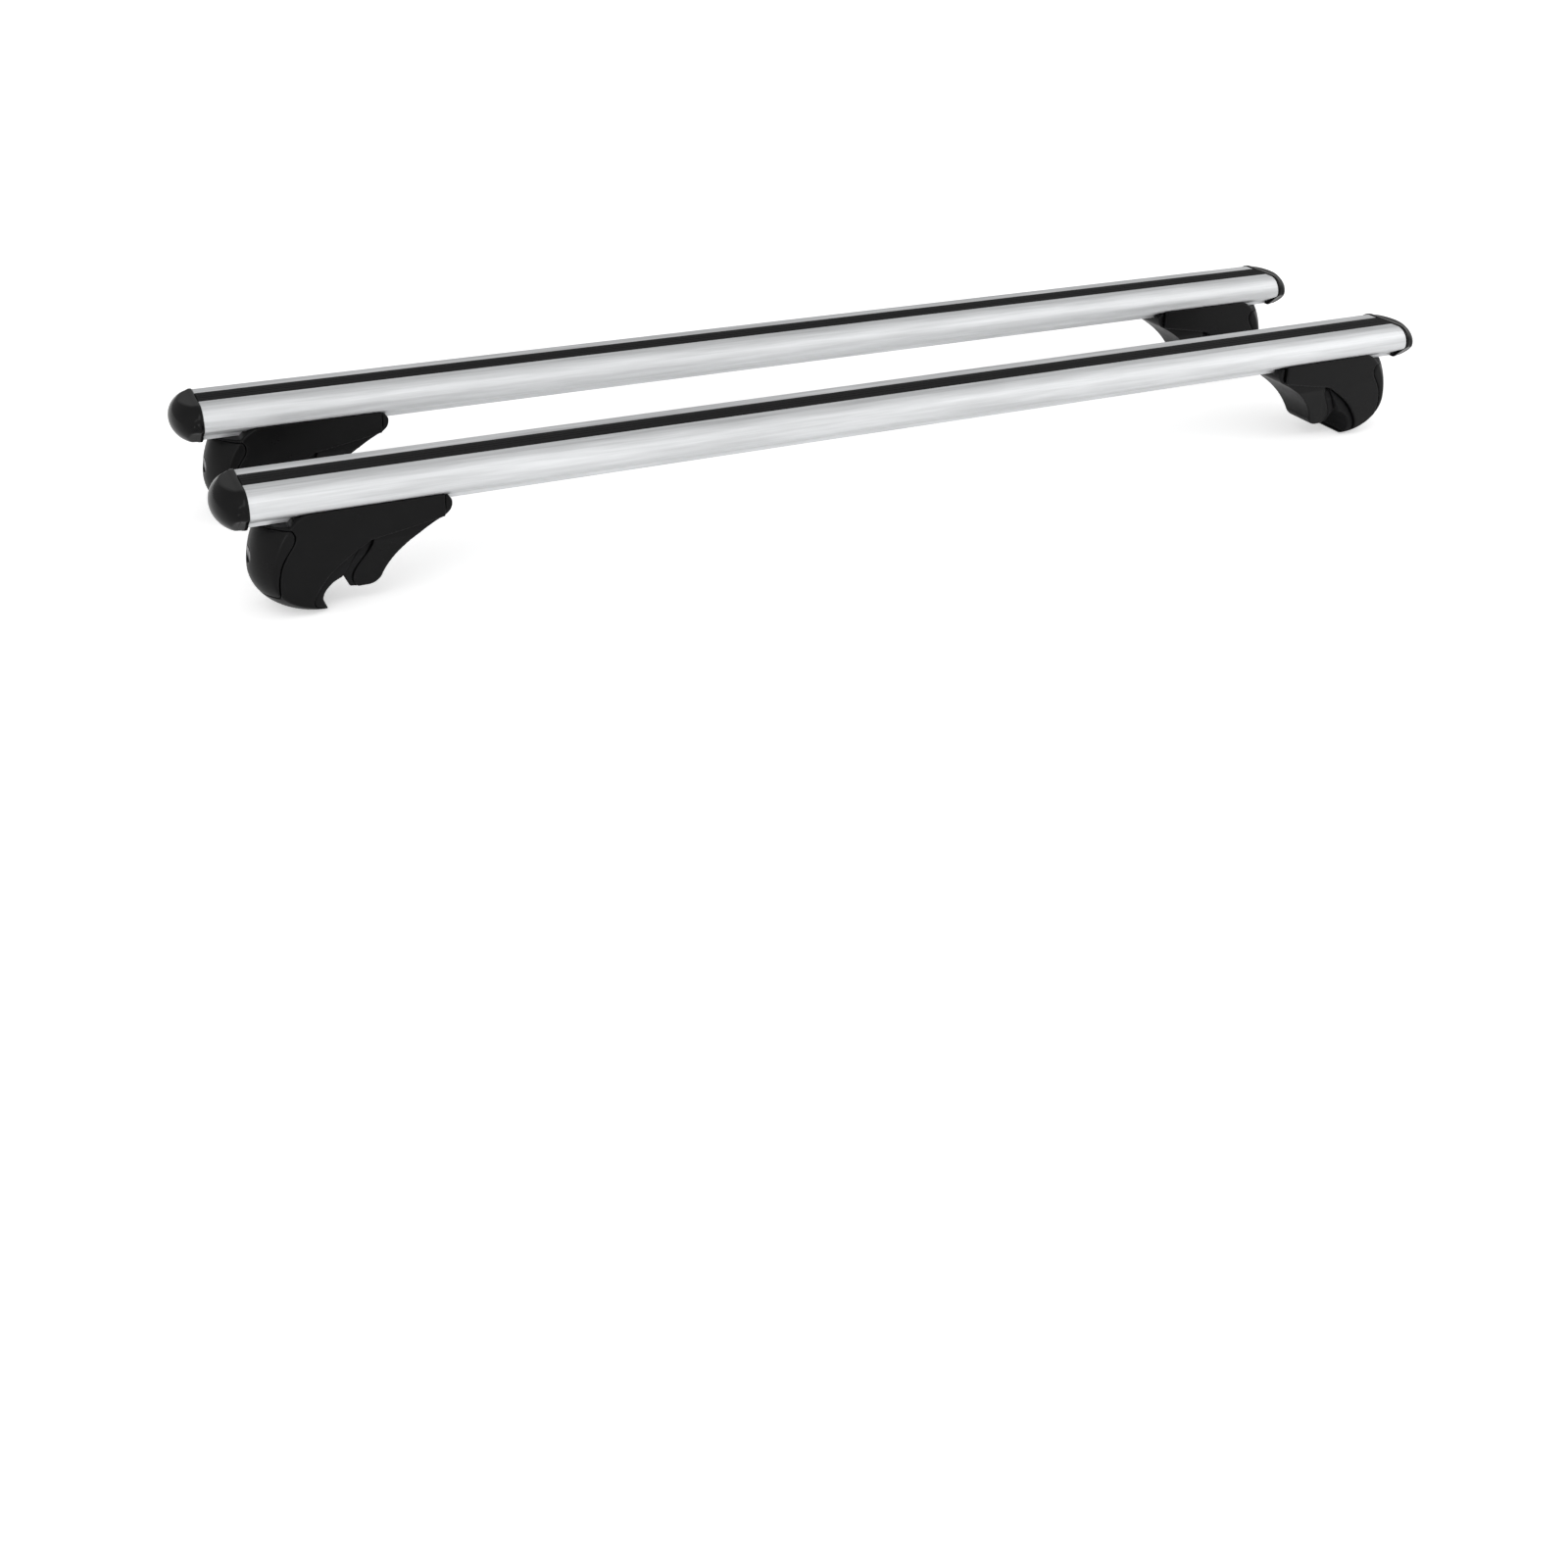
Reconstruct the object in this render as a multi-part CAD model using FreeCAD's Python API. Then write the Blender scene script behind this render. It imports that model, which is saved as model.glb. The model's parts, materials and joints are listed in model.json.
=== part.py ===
"""A pair of aluminium roof cross bars with lockable clamp feet for raised roof rails.

Frame: +X along the bars, +Y to the rear bar, +Z up, origin on the ground midway between the four feet.
Each foot is drawn in its own frame: x runs inwards from the end of the bar, z is 0 on the bar's top face.
All sizes are millimetres.
"""
import FreeCAD, Part
import math
import os

from FreeCAD import Vector

# Bars
bar_length = 1200.0
bar_spacing = 200.0
bar_width = 72.0
bar_top_flat = 44.0
bar_widest_depth = 16.5
bar_oval_depth = 29.5
bar_bottom_flat = 39.0
bar_chin_drop = 5.5
bar_wall = 2.0

# Slot in the top of the bar and the rubber strip that fills it
strip_width = 23.0
strip_seat_depth = 1.6
strip_crown = 1.0
strip_groove_radius = 0.7
strip_groove_offset = 4.2
slot_mouth = 11.0
slot_lip = 2.4
slot_cavity_width = 21.0
slot_cavity_depth = 7.0
strip_root_width = 18.0
strip_root_height = 2.5

# Channel under the bar that the feet slide along
channel_width = 33.0
channel_drop = 4.5
channel_wall = 2.2
channel_mouth = 12.0
channel_cavity_height = 7.3

# End caps
cap_flange = 4.0
cap_overlap = 1.0
cap_rim_step = 0.8
cap_dome = 21.0
cap_plug_length = 18.0
cap_plug_clearance = 0.3

# Foot housing, seen from the side
foot_drop = 116.0
foot_length = 155.0
foot_width = 62.0
foot_sole_width = 52.0
foot_sole_corner = 7.0
cheek_depth = 24.0
cheek_start = 46.0
cheek_step_end = 30.0
wing_end_depth = 44.0
arch_crown_x = 93.0
arch_crown_depth = 55.0
hook_reach = 58.0
hook_lip = 2.5
seat_gap = 0.4
deck_thickness = 4.6
skin = 3.0

# Round nose of the housing: an egg whose centre lies this far in from the bar's end and this deep
bulb_length = hook_reach + 0.5
bulb_half_width = 45.1
bulb_depth = 75.0
bulb_upper = 72.0
bulb_lower = 43.6

# Clamp jaw that slides inside the housing
jaw_side_gap = 0.4
jaw_top_gap = 0.4
jaw_start_gap = 1.0
jaw_sole_depth = 101.0
jaw_sole_width = 32.0
jaw_tail = 6.5
jaw_tail_rise = 12.0

# Rubber pads
hook_pad_width = 50.0
jaw_pad_width = 46.0
pad_gap = 0.9
pad_edge = 0.8
jaw_pad_inset = 1.2

# Clamp bolt, washer and square nut
bolt_depth = 45.5
bolt_diameter = 6.0
bolt_hole_diameter = 6.6
bolt_head_diameter = 10.0
bolt_head_height = 6.0
bolt_socket = 5.0
bolt_socket_depth = 3.5
bolt_end = 140.0
washer_diameter = 12.5
washer_thickness = 1.6
nut_width = 10.0
nut_thickness = 5.0
nut_slot_gap = 0.2
nut_thread_gap = 0.05
nut_start = 103.0

# Plate in the bar's channel and the two screws that hang the foot from it
plate_length = 80.0
plate_width = 27.0
plate_thickness = 4.5
plate_start = 62.0
screw_diameter = 6.0
screw_hole_diameter = 6.4
screw_head_diameter = 11.5
screw_head_height = 3.0
screw_inset = 14.0

# Lock cover that pulls off the nose, and the lock
cover_gap = 0.4
cover_top_depth = 36.5
cover_bottom_depth = 95.0
cover_seam_top = 33.5
cover_seam_foot = 19.5
tongue_width = 16.0
tongue_thickness = 3.0
tongue_end = 20.0
pocket_depth = 27.0
pocket_width = 36.0
pocket_bottom = 89.0
lock_depth = 64.0
lock_diameter = 13.0
lock_gap = 0.06
lock_boss_diameter = 17.0
lock_length = 19.0
lock_recess = 1.2
key_slot_width = 1.6
key_slot_height = 8.0
key_slot_depth = 6.0
cam_length = 16.0
cam_width = 8.0
cam_thickness = 2.0
keeper_reach = 4.0
keeper_thickness = 4.0

FOOT_NAMES = ("front_left", "front_right", "rear_left", "rear_right")
X, Y, Z = Vector(1, 0, 0), Vector(0, 1, 0), Vector(0, 0, 1)


def line(a, b):
    return Part.LineSegment(a, b).toShape()


def arc(a, middle, b):
    return Part.Arc(a, middle, b).toShape()


def curve(points):
    spline = Part.BSplineCurve()
    spline.interpolate(points)
    return spline.toShape()


def face(edges):
    return Part.Face(Part.Wire(Part.__sortEdges__(edges)))


def polygon(points):
    return Part.Face(Part.makePolygon(points + points[:1]))


def block(x0, x1, y0, y1, z0, z1):
    return Part.makeBox(x1 - x0, y1 - y0, z1 - z0, Vector(x0, y0, z0))


def rod(radius, start, direction, length):
    return Part.makeCylinder(radius, length, start, direction)


def section(points):
    """Points (y, z) of the bar's section, in the plane of its end."""
    return [Vector(0, y, z) for y, z in points]


def side(x, z):
    """A point of the foot's side view."""
    return Vector(x, 0, z)


def across(shape_face, width):
    """A side view face made into a solid of that width, centred on the bar."""
    solid = shape_face.extrude(Y * width)
    solid.translate(Y * (-width / 2))
    return solid


# Bar section

channel_floor = -(bar_oval_depth + channel_drop)


def oval_edges(extra=0.0, depth=bar_oval_depth):
    """Outline of the bar without its channel, grown by extra."""
    half, flat, foot = bar_width / 2 + extra, bar_top_flat / 2, bar_bottom_flat / 2 + extra
    chin = -(bar_widest_depth + bar_chin_drop)
    shoulder = Vector(0, flat + 0.74 * (half - flat), extra - 0.35 * bar_widest_depth)
    edges = []
    for s in (1, -1):
        top, wide = Vector(0, s * flat, extra), Vector(0, s * half, -bar_widest_depth)
        low, base = Vector(0, s * (half - 3.4), chin), Vector(0, s * foot, -depth)
        edges.append(arc(top, Vector(0, s * shoulder.y, shoulder.z), wide))
        chin_bow = Vector(0, s * (half - 0.9), -bar_widest_depth - 0.6 * bar_chin_drop)
        edges.append(arc(wide, chin_bow, low))
        edges.append(line(low, base))
    edges.append(line(Vector(0, flat, extra), Vector(0, -flat, extra)))
    edges.append(line(Vector(0, foot, -depth), Vector(0, -foot, -depth)))
    return edges


def rectangle(half, z_low, z_high):
    return polygon(section([(-half, z_low), (half, z_low), (half, z_high), (-half, z_high)]))


slot_floor = -(strip_seat_depth + slot_lip + slot_cavity_depth)
channel_roof = channel_floor + channel_wall + channel_cavity_height


def bar_cavities():
    """The closed hollows of the extrusion: one each side and one between the two slots."""
    hollow = face(oval_edges()).makeOffset2D(-bar_wall)
    hollow = hollow.cut(rectangle(slot_cavity_width / 2 + bar_wall, slot_floor - bar_wall, 0))
    hollow = hollow.cut(rectangle(channel_width / 2, channel_floor, channel_roof + bar_wall))
    web = slot_cavity_width / 2 + bar_wall
    for s in (1, -1):
        y0, y1 = sorted((s * web, s * (web - bar_wall)))
        strut = polygon(section([(y0, -bar_oval_depth), (y1, -bar_oval_depth), (y1, 0), (y0, 0)]))
        hollow = hollow.cut(strut)
    return hollow.Faces


def bar_section():
    outline = face(oval_edges()).fuse(rectangle(channel_width / 2, channel_floor, -bar_oval_depth))
    for cavity in bar_cavities():
        outline = outline.cut(cavity)
    outline = outline.cut(rectangle(strip_width / 2, -strip_seat_depth, 1))
    outline = outline.cut(rectangle(slot_mouth / 2, slot_floor, 0))
    outline = outline.cut(rectangle(slot_cavity_width / 2, slot_floor, slot_floor + slot_cavity_depth))
    outline = outline.cut(rectangle(channel_mouth / 2, channel_floor, channel_roof))
    inner = channel_width / 2 - channel_wall
    outline = outline.cut(rectangle(inner, channel_floor + channel_wall, channel_roof))
    return outline.removeSplitter()


def make_bar():
    return bar_section().extrude(X * bar_length)


def make_strip():
    """Rubber strip: a crowned cap on the seat, a stem through the mouth and a root under the lips."""
    half = strip_width / 2 - 0.2
    cap = face([
        line(Vector(0, -half, -strip_seat_depth), Vector(0, half, -strip_seat_depth)),
        line(Vector(0, half, -strip_seat_depth), Vector(0, half, 0)),
        arc(Vector(0, half, 0), Vector(0, 0, strip_crown), Vector(0, -half, 0)),
        line(Vector(0, -half, 0), Vector(0, -half, -strip_seat_depth)),
    ])
    root_top = -(strip_seat_depth + slot_lip) - 0.1
    stem = rectangle(slot_mouth / 2 - 0.3, root_top - strip_root_height, -strip_seat_depth)
    root = rectangle(strip_root_width / 2, root_top - strip_root_height, root_top)
    strip = cap.fuse([stem, root]).removeSplitter().extrude(X * bar_length)
    for s in (-1, 0, 1):
        groove = rod(strip_groove_radius, Vector(-1, s * strip_groove_offset, strip_crown), X, bar_length + 2)
        strip = strip.cut(groove)
    return strip


def make_cap():
    """End cap at the left end: a flange over the bar's end, a dome and two plugs in the side hollows."""
    cap_bottom = -channel_floor + cap_overlap
    outline = face(oval_edges(cap_overlap, cap_bottom))
    length = cap_flange + cap_dome
    half_width, half_height = bar_width / 2 + cap_overlap, (cap_overlap + cap_bottom) / 2
    stretch = FreeCAD.Matrix()
    stretch.scale(Vector(length, half_width * 1.05, half_height * 1.22))
    dome = Part.makeSphere(1.0).transformGeometry(stretch)
    dome.translate(Vector(0, 0, cap_overlap - half_height))
    body = outline.makeOffset2D(-cap_rim_step).extrude(X * -length).common(dome)
    body = body.fuse(outline.extrude(X * -cap_flange))
    cavities = sorted(bar_cavities(), key=lambda f: f.CenterOfMass.y)
    for cavity in (cavities[0], cavities[-1]):
        plug = cavity.makeOffset2D(-cap_plug_clearance).extrude(X * cap_plug_length)
        body = body.fuse(plug)
    return body.removeSplitter()


# Foot housing

deck_top = channel_floor - seat_gap
deck_bottom = deck_top - deck_thickness
sole = -foot_drop


def arch_points():
    """The arch over the rail, from the hook's lip up to its crown."""
    return [
        side(hook_reach - 10.5, sole + 6.5),
        side(hook_reach - 12.0, sole + 12.0),
        side(hook_reach - 9.0, sole + 20.5),
        side(hook_reach + 5.5, sole + 39.5),
        side(arch_crown_x, -arch_crown_depth),
    ]


def side_view(inset=0.0):
    """Side view of the housing. With an inset its sole and top are drawn in by that much."""
    arch = arch_points()
    nose_top, nose_foot = side(-5, deck_top - inset), side(-5, sole + inset)
    cheek_top = -cheek_depth - inset
    tip = side(hook_reach, sole + hook_lip)
    heel = side(hook_reach - hook_lip, sole + inset)
    wing = side(foot_length, -wing_end_depth)
    top_end, top_start = side(foot_length, cheek_top), side(cheek_start, cheek_top)
    step = side(cheek_step_end, deck_top - inset)
    middle = side((cheek_start + cheek_step_end) / 2 - 3.0, (cheek_top + deck_top) / 2)
    return face([
        line(nose_top, nose_foot),
        line(nose_foot, heel),
        line(heel, tip),
        line(tip, arch[0]),
        curve(arch),
        line(arch[-1], wing),
        line(wing, top_end),
        line(top_end, top_start),
        curve([top_start, middle, step]),
        line(step, nose_top),
    ])


def nose_bulb(inset=0.0):
    """The room that the round nose leaves: an egg of two halves, and all that lies behind its middle."""
    centre = side(bulb_length, -bulb_depth)
    halves = []
    for height, low, high in ((bulb_upper, 0, 90), (bulb_lower, -90, 0)):
        stretch = FreeCAD.Matrix()
        stretch.scale(Vector(bulb_length - inset, bulb_half_width - inset, height - inset))
        half = Part.makeSphere(1.0, Vector(0, 0, 0), Z, low, high, 360).transformGeometry(stretch)
        half.translate(centre)
        halves.append(half)
    behind = block(bulb_length, foot_length + 100, -foot_width, foot_width, 2 * sole, -sole)
    return halves[0].fuse([halves[1], behind])


def end_view(inset=0.0):
    """The housing from its end: upright cheeks that draw in towards a rounded sole."""
    half, low = foot_width / 2 - inset, foot_sole_width / 2 - inset
    bottom, knee = sole + inset, -arch_crown_depth
    edges = [
        line(Vector(-20, -low, bottom), Vector(-20, low, bottom)),
        line(Vector(-20, -half, 0), Vector(-20, half, 0)),
    ]
    for s in (1, -1):
        bow = Vector(-20, s * (half - 0.3 * (half - low)), (bottom + knee) / 2)
        edges.append(arc(Vector(-20, s * half, knee), bow, Vector(-20, s * low, bottom)))
        edges.append(line(Vector(-20, s * half, knee), Vector(-20, s * half, 0)))
    prism = face(edges).extrude(X * (foot_length + 100))
    corners = [e for e in prism.Edges if e.Length > foot_length and abs(e.CenterOfMass.z - bottom) < 0.01]
    return prism.makeFillet(foot_sole_corner, corners)


def foot_form(inset=0.0):
    """The housing's outer form, where its three views meet."""
    form = across(side_view(inset), foot_width)
    return form.common(nose_bulb(inset)).common(end_view(inset))


def cover_zone(gap=0.0):
    """Side view of the nose cover's reach, back to its seam on the foot's sides."""
    top, bottom = -cover_top_depth + gap, -cover_bottom_depth - gap
    reach = ((0.82, 0.0), (1.0, 0.15), (0.61, 0.32), (0.21, 0.50), (0.0, 0.74), (0.04, 1.0))
    rise = cover_seam_top - cover_seam_foot
    seam = [side(cover_seam_foot + k * rise + gap, top + f * (bottom - top)) for k, f in reach]
    return across(face([
        line(side(-20, top), seam[0]),
        curve(seam),
        line(seam[-1], side(-20, bottom)),
        line(side(-20, bottom), side(-20, top)),
    ]), foot_width + 10)


def jaw_cavity():
    """Room for the jaw between the housing's side skins, open below and at the inner end."""
    half = foot_width / 2 - skin
    cavity = block(arch_crown_x + 2, foot_length + 30, -half, half, sole - 10, deck_bottom)
    return cavity


def make_housing():
    form = foot_form()
    shell = form.cut(foot_form(skin + cover_gap)).common(cover_zone(cover_gap))
    housing = form.cut(shell)
    housing = housing.cut(jaw_cavity())
    bar_room = face(oval_edges(seat_gap)).fuse(
        rectangle(channel_width / 2 + seat_gap, channel_floor - seat_gap, -bar_widest_depth))
    housing = housing.cut(bar_room.extrude(X * (foot_length + 80)).translated(X * -20))
    half = pocket_width / 2
    housing = housing.cut(block(-20, pocket_depth, -half, half, -pocket_bottom, deck_bottom))
    for s in (-1, 1):
        y0, y1 = sorted((s * half, s * (half - keeper_reach)))
        housing = housing.fuse(block(pocket_depth - 12, pocket_depth - 12 + keeper_thickness, y0, y1,
                                     -lock_depth - cam_width, -lock_depth + cam_width))
    housing = housing.cut(rod(bolt_hole_diameter / 2, side(-20, -bolt_depth), X, foot_length + 40))
    for x in screw_places():
        housing = housing.cut(rod(screw_hole_diameter / 2, side(x, deck_bottom - 1), Z, deck_thickness + 3))
        housing = housing.cut(screw_head(x, 0.2))
    return housing.removeSplitter()


# Clamp bolt and its pieces

def screw_places():
    return (plate_start + screw_inset, plate_start + plate_length - screw_inset)


def screw_head(x, gap=0.0):
    cone = Part.makeCone(screw_head_diameter / 2 + gap, screw_diameter / 2 + gap, screw_head_height,
                         side(x, deck_bottom), Z)
    return cone


def make_bolt():
    """Socket-head bolt along the foot, its head in the nose pocket."""
    seat = pocket_depth - washer_thickness
    head = rod(bolt_head_diameter / 2, side(seat - bolt_head_height, -bolt_depth), X, bolt_head_height)
    corners = [Vector(seat - bolt_head_height, bolt_socket / math.sqrt(3) * math.cos(math.radians(a)),
                      -bolt_depth + bolt_socket / math.sqrt(3) * math.sin(math.radians(a)))
               for a in range(0, 360, 60)]
    head = head.cut(polygon(corners).extrude(X * bolt_socket_depth))
    shank = rod(bolt_diameter / 2, side(seat, -bolt_depth), X, bolt_end - seat)
    bolt = head.fuse(shank).removeSplitter()
    rims = [e for e in bolt.Edges if abs(e.BoundBox.XMax - bolt_end) < 0.01 and e.BoundBox.XLength < 0.01]
    return bolt.makeChamfer(1.0, rims)


def make_washer():
    start = side(pocket_depth - washer_thickness, -bolt_depth)
    return rod(washer_diameter / 2, start, X, washer_thickness).cut(
        rod(bolt_hole_diameter / 2, start - X, X, washer_thickness + 2))


def make_nut():
    half = nut_width / 2
    nut = block(nut_start, nut_start + nut_thickness, -half, half, -bolt_depth - half, -bolt_depth + half)
    thread = rod(bolt_diameter / 2 + nut_thread_gap, side(nut_start - 1, -bolt_depth), X, nut_thickness + 2)
    return nut.cut(thread)


def make_plate():
    """Steel plate in the bar's channel, tapped for the two screws."""
    half, floor = plate_width / 2, channel_floor + channel_wall
    plate = block(plate_start, plate_start + plate_length, -half, half, floor, floor + plate_thickness)
    for x in screw_places():
        plate = plate.cut(rod(screw_diameter / 2, side(x, floor - 1), Z, plate_thickness + 2))
    return plate


def make_screws():
    screws = []
    top = channel_floor + channel_wall + plate_thickness
    for x in screw_places():
        screw = screw_head(x).fuse(rod(screw_diameter / 2, side(x, deck_bottom), Z, top - deck_bottom))
        corners = [Vector(x + 2.3 * math.cos(math.radians(a)), 2.3 * math.sin(math.radians(a)), deck_bottom)
                   for a in range(0, 360, 60)]
        screws.append(screw.removeSplitter().cut(polygon(corners).extrude(Z * 2.2)))
    return Part.makeCompound(screws)


# Jaw and pads

def jaw_front():
    """Front of the jaw's own plastic, which carries the rubber pad, from its sole up to its top block."""
    return [
        side(hook_reach + 26.0, -jaw_sole_depth),
        side(hook_reach + 21.5, -jaw_sole_depth + 10.5),
        side(hook_reach + 28.5, -jaw_sole_depth + 26.0),
        side(arch_crown_x + 3, -arch_crown_depth - 2.0),
    ]


def hook_contact():
    """Rail side of the hook pad, from the hook's tip up to where it turns straight for the jaw."""
    return [
        side(hook_reach - 2.0, sole + hook_lip + 3.0),
        side(hook_reach - 4.0, sole + 15.0),
        side(hook_reach - 1.0, sole + 21.0),
        side(hook_reach + 12.0, sole + 30.0),
    ]


def hook_crown():
    """Upper end of the hook pad's straight face, under the arch's crown."""
    return side(arch_crown_x - 7.0, -arch_crown_depth - 5.5)


def jaw_end_view(inset=0.0):
    """The jaw from its end: upright above, drawn in to a narrow sole below the housing's skins."""
    half, low = foot_width / 2 - skin - jaw_side_gap - inset, jaw_sole_width / 2 - inset
    knee, bottom = -arch_crown_depth - 2.0, -jaw_sole_depth - 1.0
    corners = [(-low, bottom), (low, bottom), (half, knee), (half, 10), (-half, 10), (-half, knee)]
    return polygon(section(corners)).extrude(X * (foot_length + 50))


def make_hook_pad():
    arch, contact, crown = arch_points(), hook_contact(), hook_crown()
    lip = side(hook_reach - 1.6, sole + hook_lip + 0.61)
    pad = across(face([
        curve(arch),
        curve(contact),
        line(arch[0], lip),
        line(lip, contact[0]),
        line(contact[-1], crown),
        line(crown, arch[-1]),
    ]), hook_pad_width)
    pad = pad.common(nose_bulb(pad_edge)).common(end_view(pad_edge))
    return pad.cut(foot_form()).removeSplitter()


def jaw_body():
    """Outer form of the jaw: top block, hollow-backed wing, tooth and a tail that shows past the housing."""
    front, top = jaw_front(), deck_bottom - jaw_top_gap
    start = arch_crown_x + 2 + jaw_start_gap
    tail_start, tail_end = foot_length + 0.8, foot_length + jaw_tail
    wing = [
        side(tail_end + 0.5, -wing_end_depth + 12.0),
        side(foot_length, -wing_end_depth - 0.5),
        side(foot_length - 23.5, -wing_end_depth - 14.5),
        side(hook_reach + 53.0, -jaw_sole_depth + 22.0),
        side(hook_reach + 46.5, -jaw_sole_depth + 10.0),
    ]
    heel = side(hook_reach + 35.0, -jaw_sole_depth)
    round_tip = side(tail_end - 1.1, -wing_end_depth + 4.2)
    round_heel = side(hook_reach + 42.5, -jaw_sole_depth + 3.2)
    body = across(face([
        line(side(start, top), side(tail_start, top)),
        line(side(tail_start, top), side(tail_start, top + jaw_tail_rise)),
        line(side(tail_start, top + jaw_tail_rise), side(tail_end - 2.5, top + jaw_tail_rise)),
        line(side(tail_end - 2.5, top + jaw_tail_rise), wing[0]),
        arc(wing[0], round_tip, wing[1]),
        curve(wing[1:]),
        arc(wing[-1], round_heel, heel),
        line(heel, front[0]),
        curve(front),
        line(front[-1], side(start, top)),
    ]), foot_width - 2 * skin - 2 * jaw_side_gap)
    return body


def make_jaw():
    jaw = jaw_body()
    jaw = jaw.common(jaw_end_view())
    bar_room = face(oval_edges(seat_gap)).fuse(
        rectangle(channel_width / 2 + seat_gap, channel_floor - seat_gap, -bar_widest_depth))
    jaw = jaw.cut(bar_room.extrude(X * (foot_length + 80)))
    jaw = jaw.cut(rod(bolt_hole_diameter / 2, side(0, -bolt_depth), X, bolt_end + 3))
    half, gap = nut_width / 2, nut_slot_gap
    jaw = jaw.cut(block(nut_start, nut_start + nut_thickness, -half - gap, half + gap,
                        -bolt_depth - half, deck_bottom))
    return jaw.removeSplitter()


def make_jaw_pad():
    """Rubber on the jaw's front: a tooth for the rail and a straight face that meets the hook's pad."""
    front, gap = jaw_front(), X * pad_gap
    contact = [side(hook_reach + 19.5, -jaw_sole_depth + 1.0), hook_contact()[-1] + gap, hook_crown() + gap]
    pad = across(face([
        curve(front),
        line(front[0], contact[0]),
        line(contact[0], contact[1]),
        line(contact[1], contact[2]),
        line(contact[2], front[-1]),
    ]), jaw_pad_width)
    return pad.common(jaw_end_view(jaw_pad_inset))


# Lock cover and lock

def make_cover():
    """Shell over the nose with a boss round the lock and a tongue that runs on the pocket's floor."""
    form = foot_form()
    shell = form.cut(foot_form(skin)).common(cover_zone())
    boss = rod(lock_boss_diameter / 2, side(-10, -lock_depth), X, lock_length + 8).common(form)
    half, floor = tongue_width / 2, -pocket_bottom + cover_gap
    tongue = block(-10, tongue_end, -half, half, floor, floor + tongue_thickness).common(form)
    cover = shell.fuse([boss, tongue])
    return cover.cut(rod(lock_diameter / 2 + lock_gap, side(-20, -lock_depth), X, 60))


def lock_face():
    rise = (bulb_depth - lock_depth) / bulb_upper
    return bulb_length * (1 - math.sqrt(1 - rise * rise)) + lock_recess


def make_lock():
    x = lock_face()
    plug = rod(lock_diameter / 2, side(x, -lock_depth), X, lock_length)
    half_w, half_h = key_slot_width / 2, key_slot_height / 2
    slot = block(x - 1, x + key_slot_depth, -half_w, half_w, -lock_depth - half_h, -lock_depth + half_h)
    return plug.cut(slot)


def make_cam():
    """Locking tongue on the inner end of the plug, hanging down while unlocked."""
    x = lock_face() + lock_length
    half = cam_width / 2
    arm = block(x, x + cam_thickness, -half, half, -lock_depth - cam_length, -lock_depth)
    return arm.fuse(rod(half, side(x, -lock_depth), X, cam_thickness)).removeSplitter()


def placed(shape, foot):
    """A copy of a foot's piece at its corner. The right-hand feet are the same pieces turned half round."""
    shape = shape.copy()
    right, rear = foot.endswith("right"), foot.startswith("rear")
    if right:
        shape.rotate(Vector(0, 0, 0), Z, 180)
    place_x = bar_length / 2 if right else -bar_length / 2
    place_y = bar_spacing / 2 if rear else -bar_spacing / 2
    shape.translate(Vector(place_x, place_y, foot_drop))
    return shape


def write(shape, node):
    assert shape.isValid(), node
    shape.exportStep("parts/" + node + ".step")


def main():
    os.makedirs("parts", exist_ok=True)
    bar, strip, cap = make_bar(), make_strip(), make_cap()
    for row in ("front", "rear"):
        left = row + "_left"
        write(placed(bar, left), row + "_cross_bar")
        write(placed(strip, left), row + "_slot_strip")
        for hand in ("left", "right"):
            write(placed(cap, row + "_" + hand), row + "_end_cap_" + hand)
    pieces = {
        "foot_housing": make_housing(),
        "clamp_jaw": make_jaw(),
        "hook_pad": make_hook_pad(),
        "jaw_pad": make_jaw_pad(),
        "clamp_bolt": make_bolt(),
        "bolt_washer": make_washer(),
        "jaw_nut": make_nut(),
        "slide_plate": make_plate(),
        "plate_screws": make_screws(),
        "lock_cover": make_cover(),
        "lock_plug": make_lock(),
        "lock_cam": make_cam(),
    }
    for foot in FOOT_NAMES:
        for name, shape in pieces.items():
            write(placed(shape, foot), foot + "_" + name)


main()
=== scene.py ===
"""Looks of a pair of roof cross bars: finishes for bars, strips, caps and clamp feet, and a studio stage."""

import json
import math

import bmesh
import bpy
from bpy.props import FloatProperty, FloatVectorProperty, IntProperty, PointerProperty
from mathutils import Matrix, Vector


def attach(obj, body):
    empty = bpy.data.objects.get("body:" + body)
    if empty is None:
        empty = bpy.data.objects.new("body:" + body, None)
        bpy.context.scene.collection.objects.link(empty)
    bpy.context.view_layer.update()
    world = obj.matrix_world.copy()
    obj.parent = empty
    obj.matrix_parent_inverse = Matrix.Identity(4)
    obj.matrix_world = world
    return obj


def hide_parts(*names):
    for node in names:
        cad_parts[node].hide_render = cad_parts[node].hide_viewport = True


bl_info = {
    "name": "Roof Cross Bars",
    "version": (1, 0, 0),
    "blender": (4, 5, 0),
    "location": "3D View > Sidebar > Cross Bars",
    "description": "Finishes a pair of roof cross bars and sets up a studio stage for them",
    "category": "Object",
}

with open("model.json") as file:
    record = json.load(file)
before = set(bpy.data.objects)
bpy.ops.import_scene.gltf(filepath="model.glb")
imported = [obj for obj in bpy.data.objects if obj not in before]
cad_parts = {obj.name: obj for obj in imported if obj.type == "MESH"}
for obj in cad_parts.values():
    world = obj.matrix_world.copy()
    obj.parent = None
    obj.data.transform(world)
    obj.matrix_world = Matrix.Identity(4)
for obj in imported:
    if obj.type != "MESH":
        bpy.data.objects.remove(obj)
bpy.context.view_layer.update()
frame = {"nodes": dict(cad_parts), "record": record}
ROWS = ("front", "rear")
HANDS = ("left", "right")
FEET = [row + "_" + hand for row in ROWS for hand in HANDS]
MM = 0.001


# Settings

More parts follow.
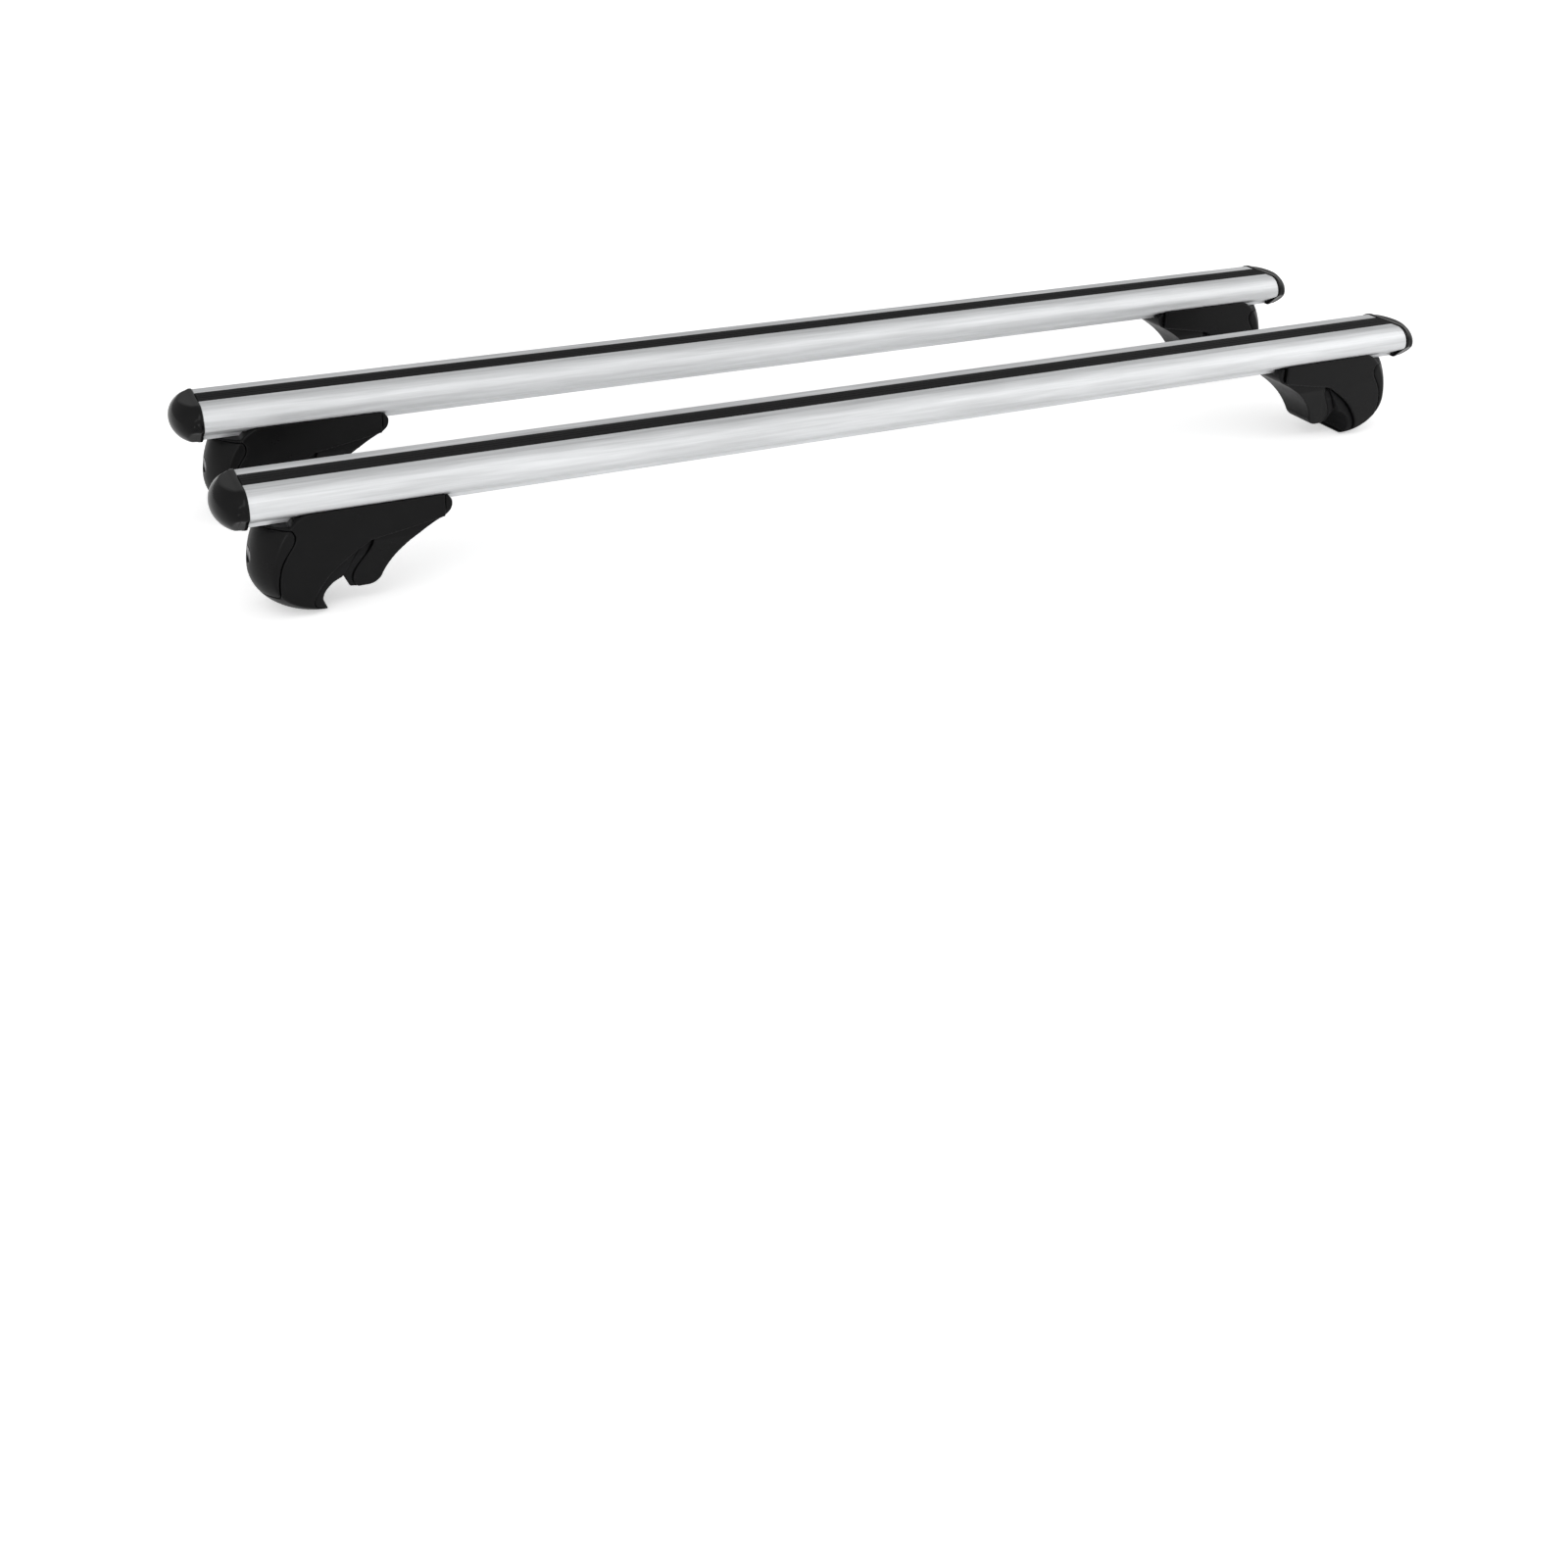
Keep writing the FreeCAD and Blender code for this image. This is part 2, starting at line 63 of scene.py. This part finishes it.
class AluminiumSettings(bpy.types.PropertyGroup):
    """Satin anodised finish of the two extrusions."""

    colour: FloatVectorProperty(
        name="Colour", description="Colour of the anodised metal", subtype="COLOR", size=3,
        default=(0.80, 0.81, 0.82), min=0, max=1)
    roughness: FloatProperty(
        name="Roughness", description="Mean roughness of the satin surface", subtype="FACTOR",
        default=0.54, min=0, max=1)
    line_width: FloatProperty(
        name="Line Width", description="Width of the fine lines that the die leaves along the bar",
        unit="LENGTH", default=3.0 * MM, min=0.05 * MM)


class PlasticSettings(bpy.types.PropertyGroup):
    """Black mouldings of the feet and end caps."""

    colour: FloatVectorProperty(
        name="Colour", description="Colour of the black mouldings", subtype="COLOR", size=3,
        default=(0.0036, 0.0036, 0.0038), min=0, max=1)
    foot_roughness: FloatProperty(
        name="Foot Roughness", description="Mean roughness of the feet", subtype="FACTOR",
        default=0.34, min=0, max=1)
    cap_roughness: FloatProperty(
        name="Cap Roughness", description="Mean roughness of the end caps", subtype="FACTOR",
        default=0.15, min=0, max=1)
    specular: FloatProperty(
        name="Specular", description="Specular level of the mouldings", subtype="FACTOR",
        default=0.15, min=0, max=1)
    grain: FloatProperty(
        name="Grain", description="Size of the moulded surface grain", unit="LENGTH",
        default=0.6 * MM, min=0.05 * MM)
    voxel: FloatProperty(
        name="Edge Voxel", description="Voxel that the mouldings are rounded with", unit="LENGTH",
        default=0.85 * MM, min=0.3 * MM)
    softening: IntProperty(
        name="Edge Softening", description="Smoothing passes that round the moulded edges",
        default=6, min=0)
    nose_softening: IntProperty(
        name="Nose Softening", description="Smoothing passes on the end caps and lock covers",
        default=18, min=0)


class RubberSettings(bpy.types.PropertyGroup):
    """Strips in the top slots and pads of the clamps."""

    colour: FloatVectorProperty(
        name="Colour", description="Colour of the rubber", subtype="COLOR", size=3,
        default=(0.0060, 0.0060, 0.0064), min=0, max=1)
    roughness: FloatProperty(
        name="Roughness", description="Mean roughness of the rubber", subtype="FACTOR",
        default=0.62, min=0, max=1)
    specular: FloatProperty(
        name="Specular", description="Specular level of the rubber", subtype="FACTOR",
        default=0.16, min=0, max=1)


class SteelSettings(bpy.types.PropertyGroup):
    """Plated fasteners and the lock plug."""

    zinc: FloatVectorProperty(
        name="Zinc", description="Colour of the zinc-plated fasteners", subtype="COLOR", size=3,
        default=(0.62, 0.63, 0.65), min=0, max=1)
    nickel: FloatVectorProperty(
        name="Nickel", description="Colour of the lock plug", subtype="COLOR", size=3,
        default=(0.20, 0.20, 0.21), min=0, max=1)
    thread_pitch: FloatProperty(
        name="Thread Pitch", description="Pitch of the clamp bolt's thread", unit="LENGTH",
        default=1.0 * MM, min=0.2 * MM)


class StageSettings(bpy.types.PropertyGroup):
    """Floor, lights and camera."""

    floor: FloatVectorProperty(
        name="Floor", description="Colour of the studio floor", subtype="COLOR", size=3,
        default=(0.86, 0.86, 0.86), min=0, max=1)
    front_fill: FloatProperty(
        name="Front Fill", description="Strength of the even light from before the bars",
        default=0.86, min=0)
    rear_fill: FloatProperty(
        name="Rear Fill", description="Strength of the even light from behind the bars",
        default=0.30, min=0)
    key: FloatProperty(
        name="Key", description="Power of the main softbox", unit="POWER",
        default=13.0, min=0)
    lift: FloatProperty(
        name="Lift", description="Glow that brings the floor to white in the picture",
        default=0.50, min=0)
    mirrored_lift: FloatProperty(
        name="Mirrored Lift", description="Share of that glow that shows in reflections",
        subtype="FACTOR", default=0.3, min=0, max=1)
    lens: FloatProperty(
        name="Lens", description="Focal length of the camera in millimetres",
        default=40.23, min=1)
    shift: FloatProperty(
        name="Shift", description="Vertical shift of the camera's frame",
        default=-0.21875)


SETTINGS = {
    "crossbar_aluminium": AluminiumSettings,
    "crossbar_plastic": PlasticSettings,
    "crossbar_rubber": RubberSettings,
    "crossbar_steel": SteelSettings,
    "crossbar_stage": StageSettings,
}


# Materials

class Finish:
    """A material with its Principled shader, and short ways to add nodes to it."""

    def __init__(self, name, colour, roughness, metallic=0.0):
        self.material = bpy.data.materials.new(name)
        self.material.use_nodes = True
        self.nodes = self.material.node_tree.nodes
        self.links = self.material.node_tree.links
        self.shader = self.nodes["Principled BSDF"]
        self.shader.inputs["Base Color"].default_value = (*colour, 1)
        self.shader.inputs["Roughness"].default_value = roughness
        self.shader.inputs["Metallic"].default_value = metallic
        self.place = self.nodes.new("ShaderNodeTexCoord").outputs["Object"]

    def stretched(self, scale):
        """Object coordinates scaled along each axis."""
        mapping = self.nodes.new("ShaderNodeMapping")
        mapping.inputs["Scale"].default_value = scale
        self.links.new(self.place, mapping.inputs["Vector"])
        return mapping.outputs["Vector"]

    def noise(self, vector, scale, detail=2.0, roughness=0.5):
        node = self.nodes.new("ShaderNodeTexNoise")
        node.inputs["Scale"].default_value = scale
        node.inputs["Detail"].default_value = detail
        node.inputs["Roughness"].default_value = roughness
        self.links.new(vector, node.inputs["Vector"])
        return node.outputs["Fac"]

    def cells(self, vector, scale):
        node = self.nodes.new("ShaderNodeTexVoronoi")
        node.inputs["Scale"].default_value = scale
        self.links.new(vector, node.inputs["Vector"])
        return node.outputs["Distance"]

    def ranged(self, value, low, high, start=0.0, end=1.0):
        """Value between start and end, spread to run from low to high."""
        node = self.nodes.new("ShaderNodeMapRange")
        for name, number in (("From Min", start), ("From Max", end), ("To Min", low), ("To Max", high)):
            node.inputs[name].default_value = number
        self.links.new(value, node.inputs["Value"])
        return node.outputs["Result"]

    def spread(self, noise, low, high):
        """A noise, which keeps mostly between 0.3 and 0.7, spread to run from low to high."""
        return self.ranged(noise, low, high, 0.3, 0.7)

    def total(self, a, b, operation="ADD"):
        node = self.nodes.new("ShaderNodeMath")
        node.operation = operation
        self.links.new(a, node.inputs[0])
        if hasattr(b, "links"):
            self.links.new(b, node.inputs[1])
        else:
            node.inputs[1].default_value = b
        return node.outputs["Value"]

    def tint(self, factor, dark, light):
        """Base colour that runs from dark to light."""
        node = self.nodes.new("ShaderNodeMix")
        node.data_type = "RGBA"
        node.inputs["A"].default_value = (*dark, 1)
        node.inputs["B"].default_value = (*light, 1)
        self.links.new(factor, node.inputs["Factor"])
        return node.outputs["Result"]

    def bump(self, height, distance, strength, under=None):
        node = self.nodes.new("ShaderNodeBump")
        node.inputs["Distance"].default_value = distance
        node.inputs["Strength"].default_value = strength
        self.links.new(height, node.inputs["Height"])
        if under is not None:
            self.links.new(under, node.inputs["Normal"])
        return node.outputs["Normal"]

    def rounded(self, radius):
        """Normals that round the edges by radius."""
        node = self.nodes.new("ShaderNodeBevel")
        node.samples = 6
        node.inputs["Radius"].default_value = radius
        return node.outputs["Normal"]

    def worn_edges(self, start=0.52, end=0.60):
        """1 on sharp outer edges, 0 elsewhere."""
        point = self.nodes.new("ShaderNodeNewGeometry").outputs["Pointiness"]
        return self.ranged(point, 0.0, 1.0, start, end)

    def drive(self, socket, output):
        self.links.new(output, self.shader.inputs[socket])


def mixed(colour, factor):
    return tuple(min(1.0, c * factor) for c in colour)


def anodised_aluminium(settings):
    """Satin silver with fine lines along the bar, a faint cloudiness and a few handling scuffs."""
    finish = Finish("anodised_aluminium", settings.colour, settings.roughness, 0.8)
    across = 1.0 / settings.line_width
    lines = finish.noise(finish.stretched((12.0, across, across)), 1.0, 3.0, 0.6)
    broad = finish.noise(finish.stretched((6.0, 60.0, 60.0)), 1.0, 2.0)
    scuffs = finish.noise(finish.stretched((90.0, 260.0, 260.0)), 1.0, 4.0, 0.7)
    rough = finish.total(finish.spread(lines, -0.06, 0.06), finish.spread(broad, -0.03, 0.03))
    rough = finish.total(rough, finish.ranged(scuffs, 0.0, 0.05, 0.55, 0.75))
    finish.drive("Roughness", finish.total(rough, settings.roughness))
    cloud = finish.total(finish.spread(lines, 0.0, 0.6), finish.spread(broad, 0.0, 0.4))
    dark, light = mixed(settings.colour, 0.80), mixed(settings.colour, 1.12)
    finish.drive("Base Color", finish.tint(cloud, dark, light))
    finish.drive("Normal", finish.bump(lines, 0.05 * MM, 0.22))
    return finish.material


def moulded_plastic(name, settings, roughness):
    """Black moulding with a fine grain, faint flow marks and slightly polished edges."""
    finish = Finish(name, settings.colour, roughness)
    finish.shader.inputs["Specular IOR Level"].default_value = settings.specular
    grain = finish.cells(finish.place, 1.0 / settings.grain)
    flow = finish.noise(finish.stretched((38.0, 26.0, 60.0)), 1.0, 3.0)
    specks = finish.noise(finish.place, 0.35 / settings.grain, 2.0)
    edges = finish.worn_edges()
    rough = finish.total(finish.spread(flow, -0.05, 0.05), finish.spread(specks, -0.03, 0.03))
    rough = finish.total(rough, finish.ranged(edges, 0.0, -0.08))
    finish.drive("Roughness", finish.total(rough, roughness))
    shade = finish.total(finish.spread(flow, 0.0, 0.35), finish.ranged(edges, 0.0, 0.65))
    finish.drive("Base Color", finish.tint(shade, settings.colour, mixed(settings.colour, 1.9)))
    finish.drive("Normal", finish.bump(grain, 0.05 * MM, 0.16))
    return finish.material


def black_rubber(name, settings, along):
    """Matt rubber with a dusty bloom. Along stretches its streaks down the length of the piece."""
    finish = Finish(name, settings.colour, settings.roughness)
    finish.shader.inputs["Specular IOR Level"].default_value = settings.specular
    streaks = finish.noise(finish.stretched((5.0 if along else 300.0, 900.0, 900.0)), 1.0, 3.0)
    pores = finish.noise(finish.place, 2600.0, 2.0)
    bloom = finish.noise(finish.stretched((9.0, 70.0, 70.0)), 1.0, 4.0)
    rough = finish.total(finish.spread(streaks, -0.05, 0.06), finish.spread(bloom, -0.04, 0.08))
    finish.drive("Roughness", finish.total(rough, settings.roughness))
    shade = finish.total(finish.ranged(bloom, 0.0, 0.7, 0.35, 0.75), finish.spread(streaks, 0.0, 0.3))
    finish.drive("Base Color", finish.tint(shade, settings.colour, mixed(settings.colour, 1.8)))
    height = finish.total(pores, finish.ranged(streaks, 0.0, 0.8))
    finish.drive("Normal", finish.bump(height, 0.06 * MM, 0.3, finish.rounded(0.5 * MM)))
    return finish.material


def zinc_steel(settings, threaded):
    """Bright zinc plate, with the clamp bolt's thread as ridges along X where threaded."""
    finish = Finish("zinc_bolt" if threaded else "zinc_steel", settings.zinc, 0.32, 1.0)
    patches = finish.noise(finish.place, 260.0, 4.0, 0.65)
    fine = finish.noise(finish.place, 1500.0, 2.0)
    finish.drive("Roughness", finish.spread(patches, 0.24, 0.42))
    warm = tuple(c * k for c, k in zip(settings.zinc, (1.0, 0.97, 0.90)))
    cloud = finish.spread(patches, 0.0, 1.0)
    finish.drive("Base Color", finish.tint(cloud, mixed(settings.zinc, 0.92), warm))
    normal = finish.bump(fine, 0.03 * MM, 0.2, finish.rounded(0.25 * MM))
    if threaded:
        wave = finish.nodes.new("ShaderNodeTexWave")
        wave.bands_direction = "X"
        wave.wave_profile = "TRI"
        wave.inputs["Scale"].default_value = 1.0 / settings.thread_pitch * math.pi / 10
        finish.links.new(finish.place, wave.inputs["Vector"])
        normal = finish.bump(wave.outputs["Fac"], 0.35 * MM, 0.8, normal)
    finish.drive("Normal", normal)
    return finish.material


def nickel_lock(settings):
    """Satin nickel with fine scratches and faint patches."""
    finish = Finish("nickel_lock", settings.nickel, 0.28, 1.0)
    scratches = finish.noise(finish.stretched((200.0, 2400.0, 500.0)), 1.0, 3.0, 0.7)
    patches = finish.noise(finish.place, 500.0, 3.0)
    finish.drive("Roughness", finish.spread(scratches, 0.20, 0.40))
    dark, light = mixed(settings.nickel, 0.85), mixed(settings.nickel, 1.05)
    finish.drive("Base Color", finish.tint(patches, dark, light))
    finish.drive("Normal", finish.bump(scratches, 0.03 * MM, 0.25, finish.rounded(0.3 * MM)))
    return finish.material


def paint(nodes, material):
    """Gives CAD nodes a material in place of their packed one."""
    for name in nodes:
        mesh = frame["nodes"][name].data
        mesh.materials.clear()
        mesh.materials.append(material)


# Moulded pieces

WELD = 0.002 * MM
FLAT_ANGLE = math.radians(0.6)


def body_of_node(node):
    for body, members in frame["record"]["behaviour"]["bodies"].items():
        if node in members:
            return body
    raise ValueError("no body holds " + node)


def rounded_mesh(node, settings, passes):
    """The mesh of a CAD node with its edges rounded as a moulding's are."""
    shape = bmesh.new()
    shape.from_mesh(frame["nodes"][node].data)
    bmesh.ops.remove_doubles(shape, verts=shape.verts, dist=WELD)
    plain = bpy.data.meshes.new(node + "_plain")
    shape.to_mesh(plain)
    shape.free()
    piece = bpy.data.objects.new(node + "_plain", plain)
    bpy.context.scene.collection.objects.link(piece)
    remesh = piece.modifiers.new("Round", "REMESH")
    remesh.mode = "VOXEL"
    remesh.voxel_size = settings.voxel
    smooth = piece.modifiers.new("Soften", "SMOOTH")
    smooth.factor = 0.5
    smooth.iterations = passes
    flat = piece.modifiers.new("Flats", "DECIMATE")
    flat.decimate_type = "DISSOLVE"
    flat.angle_limit = FLAT_ANGLE
    bpy.context.view_layer.update()
    evaluated = piece.evaluated_get(bpy.context.evaluated_depsgraph_get())
    mesh = bpy.data.meshes.new_from_object(evaluated)
    bpy.data.objects.remove(piece)
    bpy.data.meshes.remove(plain)
    for polygon in mesh.polygons:
        polygon.use_smooth = True
    mesh.materials.clear()
    return mesh


def middle_of(node):
    corners = [vertex.co for vertex in frame["nodes"][node].data.vertices]
    low = Vector([min(c[i] for c in corners) for i in range(3)])
    high = Vector([max(c[i] for c in corners) for i in range(3)])
    return (low + high) / 2


def node_at(kind, foot):
    """Name of the node of that kind at a corner."""
    row, hand = foot.split("_")
    return row + "_end_cap_" + hand if kind == "end_cap" else foot + "_" + kind


def mould_at_corners(kind, settings, material, passes):
    """Rounds one piece and shows it for all four nodes of its kind, turned half round on the right."""
    first = node_at(kind, FEET[0])
    mesh = rounded_mesh(first, settings, passes)
    mesh.materials.append(material)
    start = middle_of(first)
    for foot in FEET:
        node = node_at(kind, foot)
        copy = mesh.copy()
        copy.name = node + "_moulded"
        half_turn = Matrix.Rotation(math.pi if foot.endswith("right") else 0.0, 4, "Z")
        copy.transform(Matrix.Translation(middle_of(node)) @ half_turn @ Matrix.Translation(-start))
        piece = bpy.data.objects.new(node + "_moulded", copy)
        bpy.context.scene.collection.objects.link(piece)
        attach(piece, body_of_node(node))
        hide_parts(node)
    bpy.data.meshes.remove(mesh)


# Operators

class CROSSBARS_OT_bars(bpy.types.Operator):
    """Anodise the two extrusions"""

    bl_idname = "crossbars.bars"
    bl_label = "Anodise Bars"

    def execute(self, context):
        paint([row + "_cross_bar" for row in ROWS], anodised_aluminium(context.scene.crossbar_aluminium))
        return {"FINISHED"}


class CROSSBARS_OT_strips(bpy.types.Operator):
    """Give the strips in the top slots their rubber"""

    bl_idname = "crossbars.strips"
    bl_label = "Rubber Strips"

    def execute(self, context):
        material = black_rubber("strip_rubber", context.scene.crossbar_rubber, True)
        paint([row + "_slot_strip" for row in ROWS], material)
        return {"FINISHED"}


class CROSSBARS_OT_caps(bpy.types.Operator):
    """Mould the four end caps"""

    bl_idname = "crossbars.caps"
    bl_label = "End Caps"

    def execute(self, context):
        settings = context.scene.crossbar_plastic
        material = moulded_plastic("cap_plastic", settings, settings.cap_roughness)
        mould_at_corners("end_cap", settings, material, settings.nose_softening)
        return {"FINISHED"}


class CROSSBARS_OT_feet(bpy.types.Operator):
    """Mould the housings, jaws and lock covers of the four feet"""

    bl_idname = "crossbars.feet"
    bl_label = "Feet"

    def execute(self, context):
        settings = context.scene.crossbar_plastic
        material = moulded_plastic("foot_plastic", settings, settings.foot_roughness)
        for kind in ("foot_housing", "clamp_jaw"):
            mould_at_corners(kind, settings, material, settings.softening)
        mould_at_corners("lock_cover", settings, material, settings.nose_softening)
        return {"FINISHED"}


class CROSSBARS_OT_pads(bpy.types.Operator):
    """Mould the rubber pads of the four clamps"""

    bl_idname = "crossbars.pads"
    bl_label = "Clamp Pads"

    def execute(self, context):
        settings = context.scene.crossbar_plastic
        material = black_rubber("pad_rubber", context.scene.crossbar_rubber, False)
        for kind in ("hook_pad", "jaw_pad"):
            mould_at_corners(kind, settings, material, settings.softening)
        return {"FINISHED"}


class CROSSBARS_OT_hardware(bpy.types.Operator):
    """Plate the bolts, nuts, washers, plates and screws"""

    bl_idname = "crossbars.hardware"
    bl_label = "Hardware"

    def execute(self, context):
        settings = context.scene.crossbar_steel
        paint([foot + "_clamp_bolt" for foot in FEET], zinc_steel(settings, True))
        kinds = ("bolt_washer", "jaw_nut", "slide_plate", "plate_screws", "lock_cam")
        paint([foot + "_" + kind for foot in FEET for kind in kinds], zinc_steel(settings, False))
        return {"FINISHED"}


class CROSSBARS_OT_locks(bpy.types.Operator):
    """Finish the four lock plugs"""

    bl_idname = "crossbars.locks"
    bl_label = "Locks"

    def execute(self, context):
        paint([foot + "_lock_plug" for foot in FEET], nickel_lock(context.scene.crossbar_steel))
        return {"FINISHED"}


# Stage

FLOOR_HALF = 30.0
BARS_MIDDLE = (0.0, 0.0, 0.08)
FRONT_LEFT_NOSE = (-0.58, -0.13, 0.06)
# Place, target, size and share of the key's power of each softbox
SOFTBOXES = {
    "key_softbox": ((-1.3, -1.7, 2.3), BARS_MIDDLE, 1.6, 1.0),
    "side_softbox": ((2.2, -1.2, 1.5), BARS_MIDDLE, 1.4, 0.6),
    "rim_softbox": ((-0.4, 2.2, 1.8), BARS_MIDDLE, 1.8, 0.12),
    "low_softbox": ((-1.2, -1.25, 0.12), FRONT_LEFT_NOSE, 0.2, 0.10),
}


def softbox(name, place, target, size, power):
    """A square area lamp that faces its target."""
    lamp = bpy.data.lights.new(name, "AREA")
    lamp.shape = "SQUARE"
    lamp.size = size
    lamp.energy = power
    holder = bpy.data.objects.new(name, lamp)
    holder.location = place
    holder.rotation_euler = (Vector(target) - Vector(place)).to_track_quat("-Z", "Y").to_euler()
    bpy.context.scene.collection.objects.link(holder)


def make_world(settings):
    """Even light that falls off from the front to the rear, with white behind it all in the picture."""
    world = bpy.data.worlds.new("studio")
    world.use_nodes = True
    nodes, links = world.node_tree.nodes, world.node_tree.links
    background = nodes["Background"]
    background.inputs["Color"].default_value = (1, 1, 1, 1)
    parts = nodes.new("ShaderNodeSeparateXYZ")
    links.new(nodes.new("ShaderNodeTexCoord").outputs["Generated"], parts.inputs["Vector"])
    strength = nodes.new("ShaderNodeMapRange")
    fall_start, fall_end = -0.1, 0.85
    strength.inputs["From Min"].default_value = fall_start
    strength.inputs["From Max"].default_value = fall_end
    strength.inputs["To Min"].default_value = settings.front_fill
    strength.inputs["To Max"].default_value = settings.rear_fill
    links.new(parts.outputs["Y"], strength.inputs["Value"])
    white_behind = nodes.new("ShaderNodeMath")
    white_behind.operation = "MAXIMUM"
    links.new(strength.outputs["Result"], white_behind.inputs[0])
    links.new(nodes.new("ShaderNodeLightPath").outputs["Is Camera Ray"], white_behind.inputs[1])
    links.new(white_behind.outputs["Value"], background.inputs["Strength"])
    bpy.context.scene.world = world


def make_floor(settings):
    shape = bmesh.new()
    bmesh.ops.create_grid(shape, x_segments=1, y_segments=1, size=FLOOR_HALF)
    mesh = bpy.data.meshes.new("studio_floor")
    shape.to_mesh(mesh)
    shape.free()
    floor = bpy.data.objects.new("studio_floor", mesh)
    bpy.context.scene.collection.objects.link(floor)
    finish = Finish("studio_floor", settings.floor, 0.9)
    finish.shader.inputs["Specular IOR Level"].default_value = 0.0
    glow = finish.nodes.new("ShaderNodeEmission")
    light = finish.nodes.new("ShaderNodeLightPath")
    mirrored = finish.total(light.outputs["Is Glossy Ray"], settings.mirrored_lift, "MULTIPLY")
    seen = finish.total(light.outputs["Is Camera Ray"], mirrored, "MAXIMUM")
    lift = finish.ranged(seen, 0.0, settings.lift)
    finish.links.new(lift, glow.inputs["Strength"])
    both = finish.nodes.new("ShaderNodeAddShader")
    finish.links.new(finish.shader.outputs["BSDF"], both.inputs[0])
    finish.links.new(glow.outputs["Emission"], both.inputs[1])
    finish.links.new(both.outputs["Shader"], finish.nodes["Material Output"].inputs["Surface"])
    mesh.materials.append(finish.material)


def make_camera(settings):
    """The photograph's view: from the left, a little above, with a slight roll and a shifted frame."""
    place = (-0.80305, -1.4134, 0.6655)
    azimuth, dip, roll = 0.47884, 0.37665, 0.04015
    outward = math.cos(dip)
    ahead = Vector((math.sin(azimuth) * outward, math.cos(azimuth) * outward, -math.sin(dip)))
    level = Vector((math.cos(azimuth), -math.sin(azimuth), 0.0))
    upright = level.cross(ahead)
    right = math.cos(roll) * level + math.sin(roll) * upright
    up = right.cross(ahead)
    data = bpy.data.cameras.new("camera")
    data.lens = settings.lens
    data.sensor_width = 36.0
    data.shift_y = settings.shift
    data.clip_start = 0.01
    camera = bpy.data.objects.new("camera", data)
    turn = Matrix((right, up, -ahead)).transposed().to_4x4()
    camera.matrix_world = Matrix.Translation(place) @ turn
    bpy.context.scene.collection.objects.link(camera)
    bpy.context.scene.camera = camera


class CROSSBARS_OT_stage(bpy.types.Operator):
    """Set up the floor, lights and camera"""

    bl_idname = "crossbars.stage"
    bl_label = "Stage"

    def execute(self, context):
        settings = context.scene.crossbar_stage
        make_world(settings)
        make_floor(settings)
        for name, (place, target, size, share) in SOFTBOXES.items():
            softbox(name, place, target, size, settings.key * share)
        make_camera(settings)
        context.scene.view_settings.view_transform = "Standard"
        return {"FINISHED"}


OPERATORS = (
    CROSSBARS_OT_bars,
    CROSSBARS_OT_strips,
    CROSSBARS_OT_caps,
    CROSSBARS_OT_feet,
    CROSSBARS_OT_pads,
    CROSSBARS_OT_hardware,
    CROSSBARS_OT_locks,
    CROSSBARS_OT_stage,
)


class CROSSBARS_PT_panel(bpy.types.Panel):
    """Settings and steps of the cross bars"""

    bl_idname = "CROSSBARS_PT_panel"
    bl_label = "Roof Cross Bars"
    bl_space_type = "VIEW_3D"
    bl_region_type = "UI"
    bl_category = "Cross Bars"

    def draw(self, context):
        for name, group in SETTINGS.items():
            box = self.layout.box()
            settings = getattr(context.scene, name)
            for key in group.__annotations__:
                box.prop(settings, key)
        for operator in OPERATORS:
            self.layout.operator(operator.bl_idname)


def register():
    for group in SETTINGS.values():
        bpy.utils.register_class(group)
    for operator in OPERATORS:
        bpy.utils.register_class(operator)
    bpy.utils.register_class(CROSSBARS_PT_panel)
    for name, group in SETTINGS.items():
        setattr(bpy.types.Scene, name, PointerProperty(type=group))


def unregister():
    for name in SETTINGS:
        delattr(bpy.types.Scene, name)
    bpy.utils.unregister_class(CROSSBARS_PT_panel)
    for operator in reversed(OPERATORS):
        bpy.utils.unregister_class(operator)
    for group in reversed(list(SETTINGS.values())):
        bpy.utils.unregister_class(group)


def main():
    register()
    bpy.ops.crossbars.bars()
    bpy.ops.crossbars.strips()
    bpy.ops.crossbars.caps()
    bpy.ops.crossbars.feet()
    bpy.ops.crossbars.pads()
    bpy.ops.crossbars.hardware()
    bpy.ops.crossbars.locks()
    bpy.ops.crossbars.stage()


if __name__ == "__main__":
    main()
